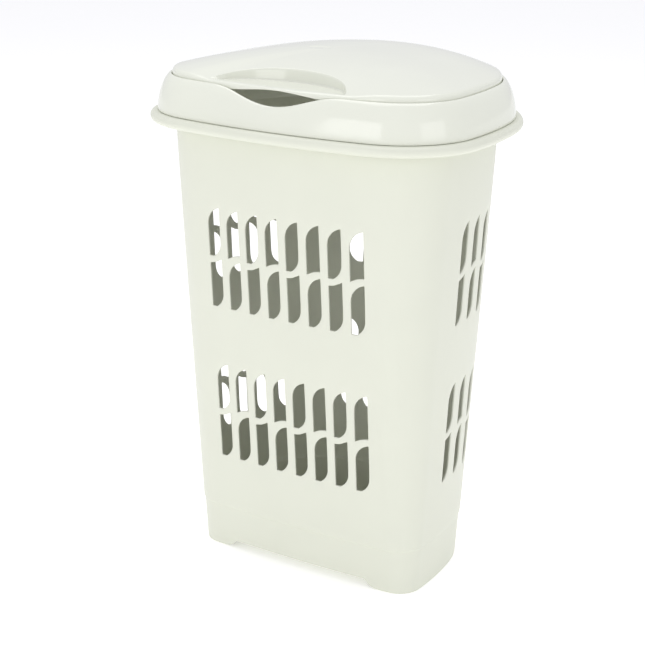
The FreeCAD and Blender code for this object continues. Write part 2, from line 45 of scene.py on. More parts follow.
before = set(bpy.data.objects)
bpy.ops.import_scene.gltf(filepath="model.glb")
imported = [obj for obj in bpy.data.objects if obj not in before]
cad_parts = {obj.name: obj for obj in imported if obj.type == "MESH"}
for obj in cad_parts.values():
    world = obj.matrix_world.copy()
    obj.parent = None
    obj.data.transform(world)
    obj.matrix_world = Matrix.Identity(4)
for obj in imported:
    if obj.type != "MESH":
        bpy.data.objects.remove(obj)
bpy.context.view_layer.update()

MM = 0.001

# The tub and its D outline
RIM_Z = 540.0
SIDE_CENTRE_Y = -62.0
# Each size of the D outline, at the base and at the rim.
OUTLINE = {
    "half": (151.0, 178.6), "front": (107.4, 155.7), "back": (111.4, 155.7),
    "front_r": (1800.0, 760.0), "front_c": (30.0, 72.0), "side_r": (420.0, 480.0),
    "back_c": (118.0, 154.0), "back_r": (380.0, 180.0),
}
LOOP = 10.0          # the outline's own measure: 0 front middle, 5 back middle, 10 front again
WALL_T = 2.4
PLINTH_Z = 56.0      # the step above the plinth, which stands in by PLINTH_IN
PLINTH_IN = 1.3
SKIN_TOP = 526.0
SKIN_LOW = 1.3
LIP_R = 1.2          # round of the tub's lower edge
FOOT_FROM_X = 94.0   # the arch between the feet ends here, in a quarter round
FOOT_ROUND = 18.0
ARCH_RISE = 10.0
ARCH_FROM_Y = 60.0
BASE_BLEND = 40.0    # the arch's lift dies out over this height
FLOOR_Z = (11.4, 14.0)
BEAD_OUT = 22.4      # the rim bead's middle, outside the outline, and its radius
BEAD_Z = 533.8
BEAD_R = 6.2

# The lid collar
COLLAR_TOP = 581.9
COLLAR_FOOT = 20.0
COLLAR_FACE_Z = 541.2
COLLAR_LEAN = (1.8, 0.65)
SPIGOT_OUT = -4.2
SPIGOT_IN = -6.6
SHELF_Z = 576.9
SKIRT_Z = 543.0      # the shelf drops to here behind the scoop

# The lid flap
FLAP_LOW = 577.3
FLAP_EDGE_OFFSET = 2.7
FLAP_EDGE_START = 583.4
FLAP_EDGE_R = 6.0
FLAP_EDGE_TURN = math.radians(65.0)
FLAP_RIM = FLAP_EDGE_START + FLAP_EDGE_R * math.sin(FLAP_EDGE_TURN)
FLAP_SKIN = 2.2
LIP_SPREAD = 1.2     # the lip is this much wider than the opening under it
CROWN_MIDDLE_Y = 45.0
CROWN_POWER = (2.6, 0.2)      # of the dome's fall to the sides, and what the back adds
DISH_X = -4.0
DISH_TIP_Y = 150.0
DISH_ROUND = (2.1, 1.8)       # powers of the dish's outline, across and along
# The dish's back wall: (step towards the lip as a share of the line in, how far down it is)
DISH_WALL = ((-0.005, 0.0), (0.0, 0.03), (0.003, 0.14), (0.0065, 0.38), (0.0095, 0.66),
             (0.0125, 0.88), (0.0155, 0.98), (0.020, 1.0))
OVAL_AT = (-40.0, -7.0)
OVAL_HALF = (15.0, 8.0)
OVAL_DEEP = 0.6

# The hinge
HINGE_Y = 152.4
HINGE_Z = 583.4
BARREL_R = 5.9
BARREL_HALF = 34.0
PIN_R = 2.2
PIN_END = 39.0
EAR_R = 5.6
EAR_BORE_R = 2.26
EAR_MIDDLE = 37.4
EAR_HALF = 3.0


# ---------------------------------------------------------------- sizes a user would change

class HamperSlots(bpy.types.PropertyGroup):
    """The slot windows in the tub's walls."""
    pitch: FloatProperty(name="Pitch", description="Column to column, front and back",
                         default=0.0272, unit="LENGTH")
    width: FloatProperty(name="Width", description="Width of a slot, front and back",
                         default=0.0173, unit="LENGTH")
    side_pitch: FloatProperty(name="Side pitch", description="Column to column on the sides",
                              default=0.0318, unit="LENGTH")
    side_width: FloatProperty(name="Side width", description="Width of a slot on the sides",
                              default=0.0150, unit="LENGTH")
    group_step: FloatProperty(name="Group step", description="Lower group to upper group",
                              default=0.1922, unit="LENGTH")
    edge_round: FloatProperty(name="Edge round", description="Radius of the moulded slot edge",
                              default=0.0008, unit="LENGTH")
    columns: IntProperty(name="Front columns", description="Slot columns in the front wall",
                         default=8, min=2)
    back_columns: IntProperty(name="Back columns", description="Slot columns in the back wall",
                              default=6, min=2)
    side_columns: IntProperty(name="Side columns", description="Slot columns in each side wall",
                              default=4, min=2)


class HamperLid(bpy.types.PropertyGroup):
    """The lid collar and its flap."""
    scoop_half: FloatProperty(name="Scoop half width", description="Middle to end of the scoop",
                              default=0.085, unit="LENGTH")
    scoop_dip: FloatProperty(name="Scoop dip", description="Depth of the finger scoop",
                             default=0.0155, unit="LENGTH")
    lip_half: FloatProperty(name="Lip half width", description="Middle to end of the opening",
                            default=0.062, unit="LENGTH")
    lip_rise: FloatProperty(name="Lip rise", description="Rise of the flap's lip in the middle",
                            default=0.0053, unit="LENGTH")
    lip_drop: FloatProperty(name="Lip drop", description="How far the flap's edge dips at the lip",
                            default=0.0038, unit="LENGTH")
    dish_half: FloatProperty(name="Dish half width", description="Middle to tip of the dish",
                             default=0.085, unit="LENGTH")
    dish_depth: FloatProperty(name="Dish reach", description="Tips of the dish to its back",
                              default=0.048, unit="LENGTH")
    dish_tilt: FloatProperty(name="Dish tilt", description="Fall of the dish's floor to its back",
                             default=0.0016, unit="LENGTH")
    crown: FloatProperty(name="Crown", description="Height of the flap's dome over its edge",
                         default=0.0200, unit="LENGTH")


class HamperFinish(bpy.types.PropertyGroup):
    """Colours and polish of the moulded plastic."""
    body_colour: StringProperty(name="Tub colour", description="sRGB hex of the tub",
                                default="#DBDDCE")
    lid_colour: StringProperty(name="Lid colour", description="sRGB hex of the lid",
                               default="#E2E4D7")
    body_rough: FloatProperty(name="Tub roughness", description="Roughness of the tub",
                              default=0.42, min=0.0, max=1.0, subtype="FACTOR")
    lid_rough: FloatProperty(name="Lid roughness", description="Roughness of the lid",
                             default=0.12, min=0.0, max=1.0, subtype="FACTOR")


class HamperStage(bpy.types.PropertyGroup):
    """Camera, light and floor."""
    camera_at: FloatVectorProperty(name="Camera", description="Where the camera stands",
                                   default=(0.9890, -1.6027, 0.8825), subtype="TRANSLATION")
    camera_to: FloatVectorProperty(name="Target", description="Where the camera looks",
                                   default=(-0.00035, -0.0562, 0.2958), subtype="TRANSLATION")
    camera_roll: FloatProperty(name="Roll", description="Turn about the line of sight",
                               default=math.radians(0.68), subtype="ANGLE")
    lens: FloatProperty(name="Lens", description="Focal length in millimetres", default=91.93)
    dome_light: FloatProperty(name="Dome light", description="Strength of the white dome",
                              default=0.67)


# ---------------------------------------------------------------- the D outline

def meeting_centre(centre_a, reach_a, centre_b, reach_b, towards):
    """Centres at two given distances from two centres, on the side that `towards` points to."""
    across = centre_b - centre_a
    gap = np.linalg.norm(across, axis=-1)
    along = (reach_a ** 2 - reach_b ** 2 + gap ** 2) / (2 * gap)
    height = np.sqrt(np.maximum(reach_a ** 2 - along ** 2, 0.0))
    unit = across / gap[..., None]
    sideways = np.stack([-unit[..., 1], unit[..., 0]], -1)
    first = centre_a + unit * along[..., None] + sideways * height[..., None]
    second = centre_a + unit * along[..., None] - sideways * height[..., None]
    pick = (first @ np.array(towards)) > (second @ np.array(towards))
    return np.where(pick[..., None], first, second)


def outline(q, height, offset=0.0):
    """Plan points of the D outline at loop measures q, at a height, moved out by an offset."""
    q, height, offset = np.broadcast_arrays(*(np.asarray(v, float) for v in (q, height, offset)))
    q = np.mod(q, LOOP)
    half = np.where(q <= LOOP / 2, q, LOOP - q)
    share = height / RIM_Z
    s = {name: low + (high - low) * share + offset for name, (low, high) in OUTLINE.items()}
    zero = np.zeros_like(share)
    front = np.stack([zero, s["front_r"] - s["front"]], -1)
    side = np.stack([s["half"] - s["side_r"], zero + SIDE_CENTRE_Y], -1)
    back = np.stack([zero, s["back"] - s["back_r"]], -1)
    front_c = meeting_centre(front, s["front_r"] - s["front_c"],
                             side, s["side_r"] - s["front_c"], (1, -1))
    back_c = meeting_centre(side, s["side_r"] - s["back_c"],
                            back, s["back_r"] - s["back_c"], (1, 1))

    def heading(a, b):
        return np.arctan2(b[..., 1] - a[..., 1], b[..., 0] - a[..., 0])

    quarter = np.full_like(share, math.pi / 2)
    turns = np.stack([-quarter, heading(front, front_c), heading(side, front_c),
                      heading(side, back_c), heading(back, back_c), quarter], 0)
    centres = np.stack([front, front_c, side, back_c, back], 0)
    radii = np.stack([s["front_r"], s["front_c"], s["side_r"], s["back_c"], s["back_r"]], 0)
    arc = np.minimum(half.astype(int), 4)
    part = half - arc
    take = np.expand_dims(arc, 0)
    start = np.take_along_axis(turns, take, 0)[0]
    end = np.take_along_axis(turns, take + 1, 0)[0]
    radius = np.take_along_axis(radii, take, 0)[0]
    centre = np.take_along_axis(centres, take[..., None], 0)[0]
    angle = start + (end - start) * part
    x = centre[..., 0] + radius * np.cos(angle)
    y = centre[..., 1] + radius * np.sin(angle)
    return np.where(q <= LOOP / 2, x, -x), y


def loop_samples(counts):
    """Loop measures round the whole outline, with a count for each of the five half arcs."""
    right = np.concatenate([arc + np.arange(n) / n for arc, n in enumerate(counts)])
    left = LOOP - right[1:][::-1]
    return np.concatenate([right, [LOOP / 2], left])


def smoothstep(value):
    value = np.clip(value, 0.0, 1.0)
    return value * value * (3.0 - 2.0 * value)


# ---------------------------------------------------------------- meshes

def finish_mesh(mesh, name, smooth_angle, weld=0.0):
    """Welds a mesh, turns it outwards, shades it smooth and checks that it is closed."""
    work = bmesh.new()
    work.from_mesh(mesh)
    if weld:
        bmesh.ops.remove_doubles(work, verts=work.verts, dist=weld * MM)
    bmesh.ops.recalc_face_normals(work, faces=work.faces)
    sharp = math.radians(smooth_angle)
    for edge in work.edges:
        if len(edge.link_faces) == 2 and edge.calc_face_angle(0.0) > sharp:
            edge.smooth = False
    for face in work.faces:
        face.smooth = True
    open_edges = sum(1 for edge in work.edges if len(edge.link_faces) != 2)
    if open_edges:
        raise RuntimeError("%s has %d open edges" % (name, open_edges))
    if work.calc_volume(signed=True) < 0:
        bmesh.ops.reverse_faces(work, faces=work.faces)
    work.to_mesh(mesh)
    work.free()


def mesh_object(name, points, faces, material, smooth_angle=40.0, weld=0.0):
    """A closed, outward-facing, smooth shaded mesh object from points in millimetres."""
    mesh = bpy.data.meshes.new(name)
    mesh.from_pydata((np.asarray(points) * MM).tolist(), [], faces)
    finish_mesh(mesh, name, smooth_angle, weld)
    mesh.materials.append(material)
    made = bpy.data.objects.new(name, mesh)
    bpy.context.scene.collection.objects.link(made)
    return made


def cut_away(piece, profile, near, far):
    """Takes a bar out of a piece: an XZ profile carried from one y to another, in millimetres."""
    count = len(profile)
    points = [(x, y, z) for y in (near, far) for x, z in profile]
    faces = [tuple(range(count)), tuple(range(count, 2 * count))[::-1]]
    faces += [(n, n + count, (n + 1) % count + count, (n + 1) % count) for n in range(count)]
    mesh = bpy.data.meshes.new("cutter")
    mesh.from_pydata((np.array(points) * MM).tolist(), [], faces)
    finish_mesh(mesh, "cutter", 60.0)
    cutter = bpy.data.objects.new("cutter", mesh)
    bpy.context.scene.collection.objects.link(cutter)
    modifier = piece.modifiers.new("Cut", "BOOLEAN")
    modifier.operation = "DIFFERENCE"
    modifier.solver = "EXACT"
    modifier.object = cutter
    graph = bpy.context.evaluated_depsgraph_get()
    result = bpy.data.meshes.new_from_object(piece.evaluated_get(graph))
    piece.modifiers.clear()
    piece.data = result
    finish_mesh(result, piece.name, 60.0, 0.002)
    bpy.data.objects.remove(cutter)


def ring_faces(rows, columns, first=0, closed_rows=False):
    """Quads over rows of closed rings; the rows themselves may close into a tube."""
    faces = []
    last = rows if closed_rows else rows - 1
    for row in range(last):
        low = first + row * columns
        high = first + ((row + 1) % rows) * columns
        for column in range(columns):
            after = (column + 1) % columns
            faces.append((low + column, low + after, high + after, high + column))
    return faces


def swept(samples, profile):
    """Points of a profile carried round the outline, an array of (rows, samples, 3). The
    profile holds the offset from the outline, the height, and where the outline is taken."""
    rows = [np.stack([*outline(samples, height, offset), np.broadcast_to(z, samples.shape)], -1)
            for offset, z, height in profile]
    return np.array(rows)


# ---------------------------------------------------------------- slot windows

SLOT = {"base": 125.7, "lower_left": 53.0, "lower_right": 58.9, "upper_left": 61.6,
        "upper_right": 67.0, "top": 120.1, "drop": 21.0, "foot_width": 11.0, "foot_rise": 18.0,
        "rib": 29.0}
WALLS = {
    # wall: (first and last loop measure, axis, sign, middle along the wall)
    "front": (-2.0, 2.0, 0, 1.0, 0.0),
    "right": (0.6, 4.6, 1, 1.0, 14.3),
    "back": (3.0, 7.0, 0, -1.0, 0.0),
    "left": (5.4, 9.4, 1, -1.0, -14.3),
}


def arc_points(start, end, radius, bulge, step=0.4):
    """Points from start up to, not including, end: a line, or an arc where radius is given."""
    start = np.array(start, float)
    end = np.array(end, float)
    chord = end - start
    length = np.linalg.norm(chord)
    count = max(int(length / step), 2)
    share = np.arange(count)[:, None] / count
    if radius is None:
        return start + chord * share
    sideways = np.array([-chord[1], chord[0]]) / length
    reach = math.sqrt(max(radius ** 2 - length ** 2 / 4, 0.0))
    centre = (start + end) / 2 - sideways * bulge * reach
    a = math.atan2(*(start - centre)[::-1])
    b = math.atan2(*(end - centre)[::-1])
    turn = (b - a + math.pi) % (2 * math.pi) - math.pi
    angle = a + turn * share
    return centre + radius * np.concatenate([np.cos(angle), np.sin(angle)], 1)


def slot_outline(left, width, upper, odd):
    """Dense anticlockwise points of one slot window and their outward normals."""
    right = left + width
    low = SLOT["base"]
    top_r = (width ** 2 + SLOT["drop"] ** 2) / (2 * width)
    foot_r = (SLOT["foot_width"] ** 2 + SLOT["foot_rise"] ** 2) / (2 * SLOT["foot_width"])
    corners = []
    if upper and not odd:
        corners += [(left, low + SLOT["upper_left"], SLOT["rib"], 1),
                    (right, low + SLOT["upper_right"], None, 0)]
    else:
        foot = low + SLOT["upper_left"] if upper else low
        corners += [(left, foot, None, 0), (right - SLOT["foot_width"], foot, foot_r, -1),
                    (right, foot + SLOT["foot_rise"], None, 0)]
    if not upper and odd:
        corners += [(right, low + SLOT["lower_right"], SLOT["rib"], 1),
                    (left, low + SLOT["lower_left"], None, 0)]
    else:
        top = low + (SLOT["top"] if upper else SLOT["lower_right"])
        corners += [(right, top, top_r, -1), (left, top - SLOT["drop"], None, 0)]
    pieces = [arc_points(a[:2], b[:2], a[2], a[3])
              for a, b in zip(corners, corners[1:] + corners[:1])]
    return soften(np.concatenate(pieces))


def soften(points, step=0.4, spread=1.5):
    """A closed line made even, with its corners rounded as a mould rounds them."""
    closed = np.vstack([points, points[:1]])
    run = np.concatenate([[0.0], np.cumsum(np.linalg.norm(np.diff(closed, axis=0), axis=1))])
    count = int(run[-1] / step)
    at = np.arange(count) * run[-1] / count
    even = np.stack([np.interp(at, run, closed[:, axis]) for axis in (0, 1)], -1)
    reach = np.arange(-6, 7)
    weight = np.exp(-0.5 * (reach / spread) ** 2)
    weight /= weight.sum()
    smooth = sum(w * np.roll(even, -shift, axis=0) for w, shift in zip(weight, reach))
    ahead = np.roll(smooth, -1, axis=0) - np.roll(smooth, 1, axis=0)
    ahead /= np.linalg.norm(ahead, axis=1)[:, None]
    normal = np.stack([ahead[:, 1], -ahead[:, 0]], -1)
    heading = np.unwrap(np.arctan2(ahead[:, 1], ahead[:, 0]))
    keep = [0]
    for index in range(1, count):
        turned = abs(heading[index] - heading[keep[-1]]) > math.radians(11.0)
        far = (index - keep[-1]) * step > 10.0
        if turned or far:
            keep.append(index)
    return smooth[keep], normal[keep]


def slot_lining(width, pitch, edge_round):
    """The rounded linings of one pair of columns, flat: x along the wall, y inwards, z up."""
    rings = []
    for angle in np.radians([0.0, 30.0, 60.0, 90.0]):
        rings.append((edge_round * (1 - math.sin(angle)), edge_round * (1 - math.cos(angle))))
    rings += [(out, WALL_T - deep) for out, deep in rings[::-1]]
    points = []
    faces = []
    for column, odd in ((0, True), (1, False)):
        for upper in (False, True):
            line, normal = slot_outline(pitch * (column - 0.5) - width / 2, width, upper, odd)
            first = len(points)
            for out, deep in rings:
                for spot in line + normal * out:
                    points.append((spot[0], deep, spot[1]))
            faces += ring_faces(len(rings), len(line), first)
    return points, faces


def repeat_tree():
    """Geometry nodes that repeat a piece in columns and rows."""
    tree = bpy.data.node_groups.new("Repeat in columns and rows", "GeometryNodeTree")
    made = {}
    for name, kind in (("Piece", "NodeSocketGeometry"), ("Columns", "NodeSocketInt"),
                       ("Column pitch", "NodeSocketFloat"), ("Rows", "NodeSocketInt"),
                       ("Row step", "NodeSocketFloat"), ("Material", "NodeSocketMaterial")):
        made[name] = tree.interface.new_socket(name, in_out="INPUT", socket_type=kind)
    tree.interface.new_socket("Result", in_out="OUTPUT", socket_type="NodeSocketGeometry")
    source = tree.nodes.new("NodeGroupInput")
    result = tree.nodes.new("NodeGroupOutput")

    def spread(count, step):
        """(count - 1) * step"""
        less = add_node(tree, "ShaderNodeMath", {"operation": "SUBTRACT"},
                        {0: source.outputs[count], 1: 1.0})
        return add_node(tree, "ShaderNodeMath", {"operation": "MULTIPLY"},
                        {0: less.outputs[0], 1: source.outputs[step]}).outputs[0]

    grid = add_node(tree, "GeometryNodeMeshGrid", {}, {
        "Size X": spread("Columns", "Column pitch"), "Size Y": spread("Rows", "Row step"),
        "Vertices X": source.outputs["Columns"], "Vertices Y": source.outputs["Rows"]})
    upright = add_node(tree, "GeometryNodeTransform", {}, {
        "Geometry": grid.outputs["Mesh"], "Rotation": (math.pi / 2, 0.0, 0.0)})
    copies = add_node(tree, "GeometryNodeInstanceOnPoints", {}, {
        "Points": upright.outputs["Geometry"], "Instance": source.outputs["Piece"]})
    real = add_node(tree, "GeometryNodeRealizeInstances", {}, {
        "Geometry": copies.outputs["Instances"]})
    finish = add_node(tree, "GeometryNodeSetMaterial", {}, {
        "Geometry": real.outputs["Geometry"], "Material": source.outputs["Material"]})
    tree.links.new(finish.outputs["Geometry"], result.inputs[0])
    return tree, {name: socket.identifier for name, socket in made.items()}


def repeated(points, faces, columns, pitch, rows, step, material):
    """A flat piece repeated by geometry nodes, handed back as points and faces in millimetres."""
    mesh = bpy.data.meshes.new("flat_piece")
    mesh.from_pydata((np.asarray(points) * MM).tolist(), [], faces)
    carrier = bpy.data.objects.new("flat_piece", mesh)
    bpy.context.scene.collection.objects.link(carrier)
    tree, sockets = repeat_tree()
    modifier = carrier.modifiers.new("Repeat", "NODES")
    modifier.node_group = tree
    for name, value in (("Columns", columns), ("Column pitch", pitch * MM), ("Rows", rows),
                        ("Row step", step * MM), ("Material", material)):
        modifier[sockets[name]] = value
    bpy.context.view_layer.update()
    graph = bpy.context.evaluated_depsgraph_get()
    result = bpy.data.meshes.new_from_object(carrier.evaluated_get(graph))
    spots = np.empty(len(result.vertices) * 3)
    result.vertices.foreach_get("co", spots)
    polygons = [tuple(face.vertices) for face in result.polygons]
    bpy.data.objects.remove(carrier)
    return spots.reshape(-1, 3) / MM, polygons


def loops_at(points, faces, depth):
    """Ordered closed loops of the open edges that lie at one depth."""
    seen = {}
    for face in faces:
        for a, b in zip(face, face[1:] + face[:1]):
            key = (min(a, b), max(a, b))
            seen[key] = seen.get(key, 0) + 1
    near = {}
    for (a, b), count in seen.items():
        if count == 1 and abs(points[a][1] - depth) < 1e-3 and abs(points[b][1] - depth) < 1e-3:
            near.setdefault(a, []).append(b)
            near.setdefault(b, []).append(a)
    loops = []
    left = set(near)
    while left:
        start = min(left)
        loop = [start]
        left.discard(start)
        here = start
        while True:
            ahead = [n for n in near[here] if n in left]
            if not ahead:
                break
            here = ahead[0]
            left.discard(here)
            loop.append(here)
        loops.append(loop)
    return loops


def loop_measure(wall, along, heights):
    """Loop measures of points given by their place along a wall and their height."""
    first, last, axis, sign, middle = WALLS[wall]
    q = np.linspace(first, last, 400)
    measures = np.empty(len(along))
    rounded = np.round(heights, 2)
    for height in np.unique(rounded):
        which = np.where(rounded == height)[0]
        line = outline(q, height)[axis] * sign
        measures[which] = np.interp(along[which] + middle, line, q)
    return measures


# ---------------------------------------------------------------- the tub

def arch_lift(x, y):
    """How far the tub's lower edge is raised: an arch at the front and back, none on the feet."""
    beyond = np.clip(np.abs(x) - FOOT_FROM_X, 0.0, FOOT_ROUND)
    across = (FOOT_ROUND - beyond) / FOOT_ROUND
    lift = ARCH_RISE - ARCH_RISE * np.sqrt(np.maximum(1.0 - across ** 2, 0.0))
    return np.where(np.abs(y) > ARCH_FROM_Y, lift, 0.0)


def wall_points(q, v, depth):
    """Points on the tub's wall: loop measure, height up the wall and depth below its skin."""
    inset = PLINTH_IN * (1.0 - smoothstep((v - (PLINTH_Z - 1.6)) / 2.6))
    x, y = outline(q, v, -inset - depth)
    lift = arch_lift(*outline(q, 0.0)) * np.clip(1.0 - v / BASE_BLEND, 0.0, 1.0)
    return np.stack([x, y, v + lift], -1)


def inside_loop(spots, loop):
    """Which spots lie inside a closed loop."""
    x, y = spots[:, 0], spots[:, 1]
    inside = np.zeros(len(spots), bool)
    for (x1, y1), (x2, y2) in zip(loop, np.roll(loop, -1, axis=0)):
        crosses = (y1 > y) != (y2 > y)
        with np.errstate(divide="ignore", invalid="ignore"):
            at = x1 + (y - y1) * (x2 - x1) / (y2 - y1)
        inside ^= crosses & (x < at)
    return inside


def skin_triangles(samples, rows, run, loops, clear=2.2):
    """Triangles over the unrolled wall, with the slot windows left open. No grid point stands
    closer to a window's edge than `clear`."""
    last = run(LOOP)
    border_u = np.append(run(samples), last)
    spots = [(u, v) for v in (rows[0], rows[-1]) for u in border_u]
    spots += [(u, v) for v in rows[1:-1] for u in (0.0, last)]
    index = {(round(u, 6), round(v, 6)): n for n, (u, v) in enumerate(spots)}
    edges = []
    for v in (rows[0], rows[-1]):
        line = [index[(round(u, 6), round(v, 6))] for u in border_u]
        edges += list(zip(line, line[1:]))
    for u in (0.0, last):
        line = [index[(round(u, 6), round(v, 6))] for v in rows]
        edges += list(zip(line, line[1:]))
    grid = np.array([(u, v) for v in rows[1:-1] for u in border_u[1:-1]])
    keep = np.ones(len(grid), bool)
    for loop in loops:
        low = loop.min(0) - clear - 0.3
        high = loop.max(0) + clear + 0.3
        near = np.where(((grid > low) & (grid < high)).all(1))[0]
        if not len(near):
            continue
        gap = np.linalg.norm(grid[near][:, None] - loop[None], axis=2).min(1)
        keep[near[(gap < clear) | inside_loop(grid[near], loop)]] = False
    for loop in loops:
        first = len(spots)
        spots += [tuple(spot) for spot in loop]
        edges += [(first + n, first + (n + 1) % len(loop)) for n in range(len(loop))]
    spots += [tuple(spot) for spot in grid[keep]]
    found = delaunay_2d_cdt([Vector(spot) for spot in spots], edges, [], 0, 1e-5)
    plane = np.array([tuple(spot) for spot in found[0]])
    triangles = np.array(found[2])
    middle = plane[triangles].mean(1)
    open_ = np.zeros(len(triangles), bool)
    for loop in loops:
        near = np.where(((middle > loop.min(0)) & (middle < loop.max(0))).all(1))[0]
        open_[near[inside_loop(middle[near], loop)]] = True
    return plane, triangles[~open_]


def slot_linings(slots, run, material):
    """Every slot's lining, bent onto its wall: points, faces, and each window's loop as
    distances round the wall and heights."""
    points = []
    faces = []
    loops = []
    count = 0
    for wall, pitch, width, columns in (
            ("front", slots.pitch, slots.width, slots.columns),
            ("right", slots.side_pitch, slots.side_width, slots.side_columns),
            ("back", slots.pitch, slots.width, slots.back_columns),
            ("left", slots.side_pitch, slots.side_width, slots.side_columns)):
        flat, polygons = slot_lining(width / MM, pitch / MM, slots.edge_round / MM)
        flat, polygons = repeated(flat, polygons, columns // 2, pitch * 2 / MM, 2,
                                  slots.group_step / MM, material)
        flat[:, 2] += slots.group_step / MM / 2
        q = np.mod(loop_measure(wall, flat[:, 0], flat[:, 2]), LOOP)
        points.append(wall_points(q, flat[:, 2], flat[:, 1]))
        faces += [tuple(n + count for n in face) for face in polygons]
        count += len(flat)
        for loop in loops_at(flat, polygons, 0.0):
            loops.append(np.stack([run(q[loop]), flat[loop, 2]], -1))
    return np.concatenate(points), faces, loops


def lower_edge(samples):
    """Rows round the wall's lower edge, from the outside to the inside."""
    rows = []
    for angle in np.linspace(0.0, math.pi, 7):
        inset = LIP_R * (1.0 - math.cos(angle))
        row = wall_points(samples, np.full_like(samples, SKIN_LOW), inset)
        row[:, 2] -= (SKIN_LOW - 0.02) * math.sin(angle)
        rows.append(row)
    return rows


def rim_profile():
    """Up the outside, under the rim, round the bead and down the inside."""
    profile = [(0.0, SKIN_TOP, SKIN_TOP), (0.0, 530.0, 530.0), (0.0, 533.0, 533.0),
               (0.5, 535.4, 535.4), (1.5, 536.9, 537.0), (3.4, 537.6, RIM_Z),
               (12.0, 537.6, RIM_Z), (23.6, 537.6, RIM_Z), (24.4, 537.2, RIM_Z),
               (24.6, 536.4, RIM_Z), (24.6, 529.0, RIM_Z)]
    for angle in np.radians(np.linspace(-69.0, 90.0, 15)):
        profile.append((BEAD_OUT + BEAD_R * math.cos(angle), BEAD_Z + BEAD_R * math.sin(angle),
                        RIM_Z))
    return profile + [(12.0, RIM_Z, RIM_Z), (0.6, RIM_Z, RIM_Z), (-0.9, 539.7, RIM_Z),
                      (-1.9, 538.8, 539.0), (-WALL_T, 537.4, 537.4), (-WALL_T, 532.0, 532.0),
                      (-WALL_T, SKIN_TOP, SKIN_TOP)]


def build_tub(slots, material):
    """The tub's wall in one closed skin: slotted sides, lower edge and rim bead."""
    samples = loop_samples((24, 16, 28, 28, 14))
    rows = [SKIN_LOW, 4.0, 8.0, 14.0, 22.0, 31.0, 40.0, 47.0, 54.0, 54.9, 55.6, 56.3, 57.2]
    rows = np.array(rows + list(np.linspace(66.0, SKIN_TOP, 47)))
    dense = np.linspace(0.0, LOOP, 2001)
    x, y = outline(dense, 300.0)
    length = np.concatenate([[0.0], np.cumsum(np.hypot(np.diff(x), np.diff(y)))])

    def run(q):
        """Distance round the wall, half way up, at loop measures q."""
        return np.interp(q, dense, length)

    linings, faces, loops = slot_linings(slots, run, material)
    points = [linings]
    count = len(linings)
    plane, triangles = skin_triangles(samples, rows, run, loops)
    q = np.interp(plane[:, 0], length, dense)
    for depth in (0.0, WALL_T):
        points.append(wall_points(q, plane[:, 1], depth))
        faces += [tuple(int(n) + count for n in face) for face in triangles]
        count += len(plane)
    for rings in (lower_edge(samples), swept(samples, rim_profile())):
        points.append(np.concatenate(rings))
        faces += ring_faces(len(rings), len(samples), count)
        count += len(points[-1])
    return mesh_object("tub_shell", np.concatenate(points), faces, material, weld=0.02)


def build_floor(material):
    """The tub's floor, with the round that runs up into the wall."""
    samples = loop_samples((12, 10, 16, 16, 8))
    skin = -(PLINTH_IN + WALL_T)
    profile = [(skin + 0.6, FLOOR_Z[0]), (skin + 0.6, 20.0), (skin - 0.2, 19.8),
               (skin - 0.6, 17.8), (skin - 2.0, 15.6), (skin - 4.2, 14.3), (skin - 7.0, FLOOR_Z[1])]
    rings = list(swept(samples, [(offset, z, z) for offset, z in profile]))
    inner = rings[-1]
    under = rings[0]
    for scale in (0.75, 0.5, 0.25, 0.1):
        rings.append(inner * [scale, scale, 1.0])
        rings.insert(0, under * [scale, scale, 1.0])
    points = np.concatenate(rings)
    faces = ring_faces(len(rings), len(samples))
    last = (len(rings) - 1) * len(samples)
    faces.append(tuple(range(len(samples)))[::-1])
    faces.append(tuple(range(last, last + len(samples))))
    return mesh_object("tub_floor", points, faces, material)


# ---------------------------------------------------------------- the lid collar

def scoop_shape(x, y, lid):
    """(how far the collar's edge dips, how open the scoop is) at plan points."""
    front = y < 0
    half = lid.scoop_half / MM
    reach = np.minimum(np.abs(x), half)
    dip = lid.scoop_dip / MM * (0.5 + 0.5 * np.cos(math.pi * reach / half))
    edge = lid.lip_half / MM
    open_ = smoothstep((edge + 1.0 - np.abs(x)) / 9.0)
    return np.where(front, dip, 0.0), np.where(front, open_, 0.0)


